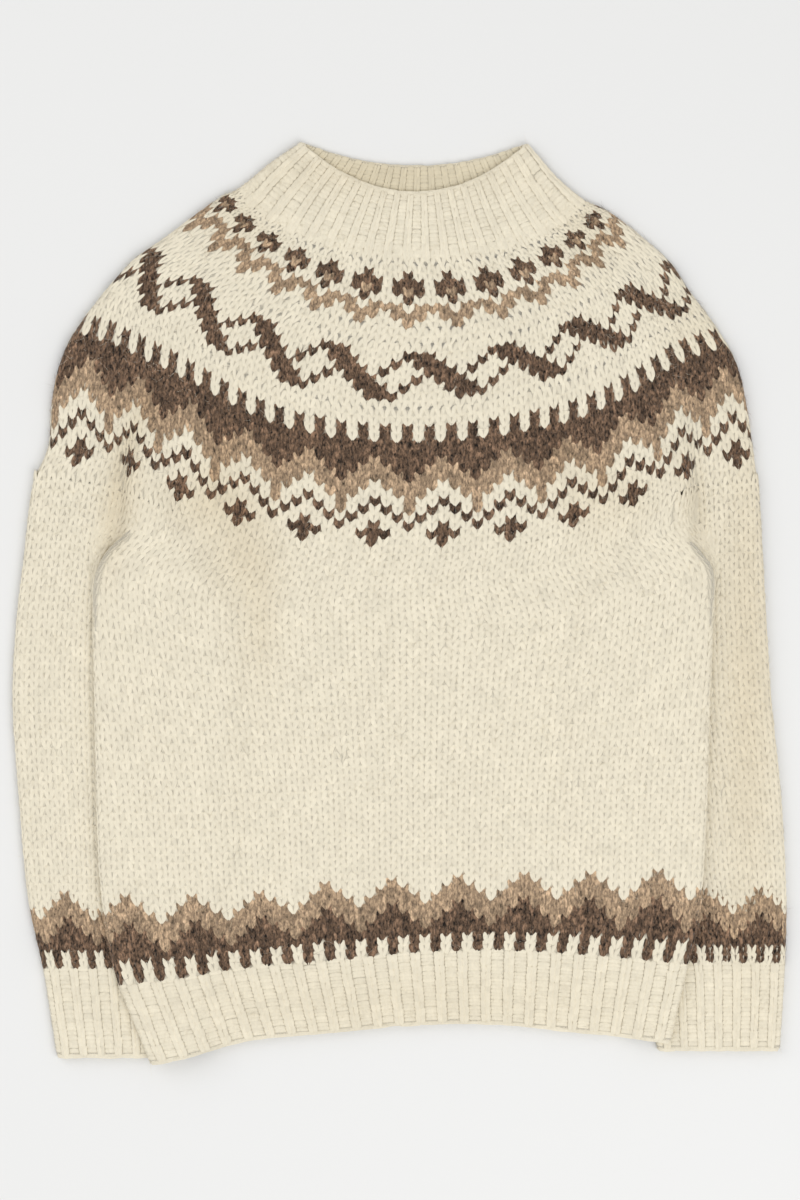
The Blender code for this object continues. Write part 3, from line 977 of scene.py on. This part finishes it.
def knit(area, dice):
    # every stitch of one piece of plain knitting; the yoke's last row runs up to the ribs
    start, joined = area["start"], area is yoke
    rows = np.arange(area["rows"] + joined)
    reach = armpit["reach"] if area is body else edgeReach
    grid = gridOf(area, 0 if joined else start - 0.5, rows[-1] + start + 1.5, -reach, 1 + reach,
                  firstCount(area))
    counts = stitchCount(area, rows)
    r = np.repeat(rows, counts + 2)
    c = np.concatenate([np.arange(-1, count + 1) for count in counts])
    share = stitchShare(area, r + start + 0.5, (c + 0.5) / stitchCount(area, r))
    past = np.where(r > armpit["reachRow"], reach, edgeReach) - endMargin
    chosen = (share > -past) & (share < 1 + past)
    if "side" in area:
        chosen &= besideBody(area, readGrid(grid, r + start + 0.5, share)[0])
    r, c = r[chosen], c[chosen]
    marks = yarnAt(area, r, c)
    points, faces, normals = stitchLegs(area, grid, r, c, leg, dice)
    each = np.repeat(marks, 2 * len(legPoints))
    shade = np.repeat(shadeOf(np.repeat(marks, 2), dice), len(legPoints))
    # painted shade: each leg darker at its foot, under the stitch below, and lighter at its head
    paintedShadeAlong = np.tile(leafAlong, 2 * len(r))
    shade = shade * (1 + np.array(jitter["paintedShadeAlong"])[each] * paintedShadeAlong)
    if area is body:
        for turn in (-1, 1):
            more, moreFaces = underCloth(grid, turn)
            faces = np.concatenate([faces, moreFaces + len(points)])
            points = np.concatenate([points, more])
            normals = np.concatenate([normals, 0 * more + [0, 0, 1]])
        each = np.append(each, np.zeros(len(points) - len(each), int))
        shade = np.append(shade, np.full(len(points) - len(shade), armpit["shade"]))
    return stitchPiece(area, points, faces, yarnColours(each, shade, points), normals)


def underCloth(grid, turn):
    # a thin closed layer that carries the stitches where the fold opens out
    r = np.flatnonzero((grid["rows"] >= armpit["layerRow"]) & (grid["rows"] <= body["rows"]))[::2]
    along = grid["shares"] if turn < 0 else 1 - grid["shares"]
    low, high = armpit["layerShares"]
    c = np.flatnonzero((along > low) & (along < high))
    at = np.ix_(r, c)
    top = grid["points"][at] - armpit["layerDepth"] * grid["normals"][at]
    under = top - armpit["layerWall"] * grid["normals"][at]
    points = np.concatenate([top.reshape(-1, 3), under.reshape(-1, 3)])
    at = np.arange(len(r) * len(c)).reshape(len(r), len(c))
    lid = np.stack([at[:-1, :-1], at[:-1, 1:], at[1:, 1:], at[1:, :-1]], axis=-1).reshape(-1, 4)
    rim = np.concatenate([at[0], at[1:, -1], at[-1, -2::-1], at[-2:0:-1, 0]])
    after, below = np.roll(rim, -1), at.size
    sides = np.stack([after, rim, rim + below, after + below], axis=-1)
    faces = halved(np.concatenate([lid, lid[:, ::-1] + below, sides]))
    return points, faces if volume(points, faces) > 0 else faces[:, ::-1]


def halved(faces):
    return np.concatenate([faces[:, [0, 1, 2]], faces[:, [0, 2, 3]]])


purlRows = 0.25, 0.75    # a row has two purl bumps, one above the other
ribFlatness = 0.9


def knitRib(area, dice):
    # raised knit columns with purl bumps between them, and a cast-off chain on open edges
    count, rows, edgeRow = area["stitches"], area["rows"], area["edgeRow"]
    outer = gridOf(area, -1, rows + 1.5, -edgeReach, 1 + edgeReach, count)
    sides = [(outer, range(rows), range(-1, count + 1), 1)]
    if area is collar:
        inner = gridOf(area, -1, rows + 1.5, 1.02, 1.98, count,
                       cloth["wall"] + collar["insideLift"])
        sides.append((inner, collar["inside"], range(count + 1, 2 * count - 1), -1))
    parts = []
    for grid, these, columns, face in sides:
        r, c = (a.ravel() for a in np.meshgrid(these, columns, indexing="ij"))
        raised = c % 2 == 1
        parts.append(stitchLegs(area, grid, r[raised], c[raised], ribLeg, dice, face))
        for lower in purlRows:
            parts.append(bars(grid, r[~raised] + area["start"] + lower, c[~raised], count, purl,
                              dice, face))
    ends = gridOf(area, edgeRow - 1, edgeRow + 1, 0, 2.02, count)
    c = np.arange(2 * count)
    parts.append(bars(ends, np.full(len(c), float(edgeRow)), c, count, chain, dice))
    starts = np.cumsum([0] + [len(part[0]) for part in parts])
    points, normals = (np.concatenate([part[k] for part in parts]) for k in (0, 2))
    faces = np.concatenate([part[1] + start for part, start in zip(parts, starts)])
    marks = np.zeros(len(points), int)
    shade = np.repeat(shadeOf(marks[::len(legPoints)], dice), len(legPoints))
    colours = yarnColours(marks, shade, points)
    if area is collar:
        # the collar's inner face painted darker and yellower, as shade inside the opening
        colours[starts[3]:starts[6], :3] *= collar["insidePaintedShade"]
    return stitchPiece(area, points, faces, colours, normals * ribFlatness)


def stitchPiece(area, points, faces, colours, normals):
    piece = makeMesh(area["name"].replace("_rib", "") + "_stitches", points, faces, colours,
                     yarnWool, clothNormals=normals)
    print(piece.name, len(faces), "triangles")
    return piece


fuzz = dict(
    fibres=16500, edgeFibres=2800, edgeSpread=0.006, length=(2.5, 8.0), radius=0.065,
    rise=0.2, leastRise=0.04, curl=0.6, sink=0.5, tableGap=0.1,
    rings=((0, 1.0), (0.5, 0.8)),   # place along the fibre and thickness there
)


def makeFuzz(dice):
    # loose fibres that lie over the stitches and stand out along the folds
    points, marks = [], []
    sizes = np.array([area["fuzz"] for area in areas], float)
    counts, edges = ((sizes / sizes.sum() * fuzz[name]).astype(int)
                     for name in ("fibres", "edgeFibres"))
    for area, count, edge in zip(areas, counts, edges):
        grid = gridOf(area, -0.5, area["rows"] + 0.5, -edgeReach, 1 + edgeReach, firstCount(area))
        share = np.concatenate([
            dice.uniform(0.0, 1.0, count),
            dice.choice([0, 1], edge) + dice.normal(0, fuzz["edgeSpread"], edge)])
        row = dice.uniform(0, area["rows"], count + edge)
        root, normal = readGrid(grid, row, share)
        aim = dice.normal(0, 1, (2, len(row), 3))
        aim = unit(aim - (aim * normal).sum(-1, keepdims=True) * normal)
        lift = np.abs(dice.normal(0, fuzz["rise"], (len(row), 1))) + fuzz["leastRise"]
        length = dice.uniform(*fuzz["length"], (len(row), 1))
        start = aim[0] + normal * lift
        turn = aim[1] * fuzz["curl"] - normal * lift * fuzz["sink"]
        side = unit(np.cross(start, normal))
        up = unit(np.cross(side, start))
        rings = []
        for t, thick in fuzz["rings"]:
            middle = root + length * (start * t + turn * t * t)
            for angle in np.arange(3) * math.tau / 3:
                reach = fuzz["radius"] * thick
                rings.append(middle + (side * math.cos(angle) + up * math.sin(angle)) * reach)
        rings.append(root + length * (start + turn))
        points.append(np.stack(rings, axis=1))
        column = placeOfShare(area, row, np.clip(share, 0, 1)) * stitchCount(area, row)
        knitRow = np.floor(row - firstRow).astype(int)
        yarns = yarnAt(area, knitRow, np.floor(column - slideOf(area, row)).astype(int))
        marks.append(np.repeat(yarns, len(rings)))
    points, marks = np.concatenate(points), np.concatenate(marks)
    points[..., 2] = np.maximum(points[..., 2], fuzz["tableGap"])
    one = np.array([(0, 2, 1), (0, 1, 4), (0, 4, 3), (1, 2, 5), (1, 5, 4), (2, 0, 3), (2, 3, 5),
                    (3, 4, 6), (4, 5, 6), (5, 3, 6)])
    starts = points.shape[1] * np.arange(len(points))
    faces = (one[None] + starts[:, None, None]).reshape(-1, 3)
    points = points.reshape(-1, 3)
    if volume(points, faces) < 0:
        faces = faces[:, ::-1]
    colours = yarnColours(marks, np.ones(len(points)), points)
    piece = makeMesh("wool_fuzz", points, faces, colours, fuzzWool, soften=False)
    print("wool_fuzz", len(faces), "triangles")
    return piece


# the cloth under the stitches is painted a tenth darker, as shade in the gaps between them
shellPaintedShade = 0.9
insetFrom, insetOver = 3, 4    # the skin lies deeper only above this height


def shell(area):
    # the cloth itself: outer face, under face and inner face in one closed skin
    rows = np.linspace(0, area["rows"], 2 * area["rows"] + 1)
    low = seamRows if area is yoke or area is collar else 0
    high = area["rows"] - seamRows if area is yoke else area["rows"]
    rows = np.clip(rows, low, high)
    shares = np.linspace(0, 2, 4 * firstCount(area), endpoint=False)
    front = clothAt(area, rows[:, None], shares[None, :])
    inset = cloth["ribInset" if "edgeRow" in area else "shellInset"]
    inset = inset * smoothStep((front[..., 2] - insetFrom) / insetOver)
    innerRows = rows[::-4]
    points = np.concatenate([
        clothAt(area, rows[:, None], shares[None, :], inset),
        clothAt(area, innerRows[:, None], shares[None, :], cloth["wall"])])
    r, s = np.meshgrid(np.arange(len(points)), np.arange(len(shares)), indexing="ij")
    r, nextR = r * len(shares), (r + 1) % len(points) * len(shares)
    nextS = (s + 1) % len(shares)
    faces = np.stack([r + s, r + nextS, nextR + nextS, nextR + s], axis=-1).reshape(-1, 4)
    allRows = np.concatenate([rows, innerRows])[:, None] + 0 * shares[None, :]
    allRows = allRows - driftAt(area, allRows, points[..., 0])
    frontShare = np.where(shares > 1, 2 - shares, shares)[None, :] + 0 * allRows
    row = np.floor(allRows - area["start"] + 1e-6).astype(int)
    count = stitchCount(area, np.maximum(row, 0))
    place = placeOfShare(area, allRows, frontShare) * count - slideOf(area, row)
    marks = yarnAt(area, row, np.floor(place - 1e-6).astype(int))
    uv = np.stack([place, allRows - area["start"]], axis=-1).reshape(-1, 2)
    colours = yarnColours(marks, np.full(marks.shape, shellPaintedShade), points).reshape(-1, 4)
    points = points.reshape(-1, 3)
    assert volume(points, halved(faces)) > 0
    piece = makeMesh(area["name"].replace("_rib", "") + "_cloth", points, faces, colours,
                     clothWool, uv)
    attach(piece, "root")
    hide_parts(area["name"])
    ribbed if "edgeRow" in area else plain
    print(piece.name, len(faces) * 2, "triangles")
    return piece


# Camera and light first, as the photograph was taken: from straight above

view = dict(lens=100, sensor=36, height=840, garmentTop=8, middleX=-0.35, middleY=0)


def makeCamera():
    distance = view["height"] * view["lens"] / view["sensor"]
    camera = bpy.data.cameras.new("camera")
    camera.lens, camera.sensor_width = view["lens"], view["sensor"]
    stand = bpy.data.objects.new("camera", camera)
    stand.location = ((view["middleX"] + shiftX) * 0.001, (view["middleY"] + shiftY) * 0.001,
                      (distance + view["garmentTop"]) * 0.001)
    bpy.context.scene.collection.objects.link(stand)
    bpy.context.scene.camera = stand


studio = dict(
    sky=0.645, floorSize=12, floor=(0.78, 0.78, 0.772, 1),
    keyPlace=(1.0, -1.1, 2.3), keySize=2.0, keyPower=32.5,
    fillPlace=(-1.9, 0.9, 1.9), fillSize=2.4, fillPower=22.5,
)


def makeStudio():
    bpy.ops.object.select_all(action="DESELECT")
    bpy.ops.mesh.primitive_plane_add(size=studio["floorSize"])
    floor = bpy.context.object
    floor.name = "floor"
    paper = Finish("paper_floor", Base_Color=studio["floor"], Roughness=0.8,
                   Specular_IOR_Level=0.2)
    floor.data.materials.append(paper.material)
    for name in ("key", "fill"):
        lamp = bpy.data.lights.new(name, "AREA")
        lamp.energy, lamp.size = studio[name + "Power"], studio[name + "Size"]
        stand = bpy.data.objects.new(name, lamp)
        stand.location = studio[name + "Place"]
        target = stand.location.copy()
        target.negate()
        stand.rotation_euler = target.to_track_quat("-Z", "Y").to_euler()
        bpy.context.scene.collection.objects.link(stand)
    world = bpy.data.worlds.new("sky")
    world.use_nodes = True
    sky = world.node_tree.nodes["Background"]
    sky.inputs["Color"].default_value = (1, 1, 1, 1)
    sky.inputs["Strength"].default_value = studio["sky"]
    bpy.context.scene.world = world
    bpy.context.scene.view_settings.view_transform = "Standard"


makeCamera()
makeStudio()
print("camera and light")

shells = {area["name"]: shell(area) for area in areas}

dice = np.random.default_rng(7)
knitted = {area["name"]: knit(area, dice) for area in (yoke, body, sleeveLeft, sleeveRight)}
for area in (hemRib, cuffLeft, cuffRight, collar):
    knitted[area["name"]] = knitRib(area, dice)
for area in areas:
    piece = knitted[area["name"]]
    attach(piece, "root")
    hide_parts(area["name"])
    ribbed if "edgeRow" in area else plain

loose = makeFuzz(np.random.default_rng(11))
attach(loose, "root")


def declareSheet(area):
    # the tube read at the middle of its wall, round it and along its rows; the points are not used
    rows, shares = np.linspace(0, area["rows"], 80), np.linspace(0, 2, 400)
    points = clothAt(area, rows[:, None], shares[None, :], cloth["wall"] / 2) * 0.001


for area in (yoke, body, sleeveLeft, sleeveRight, cuffLeft, cuffRight, hemRib, collar):
    declareSheet(area)
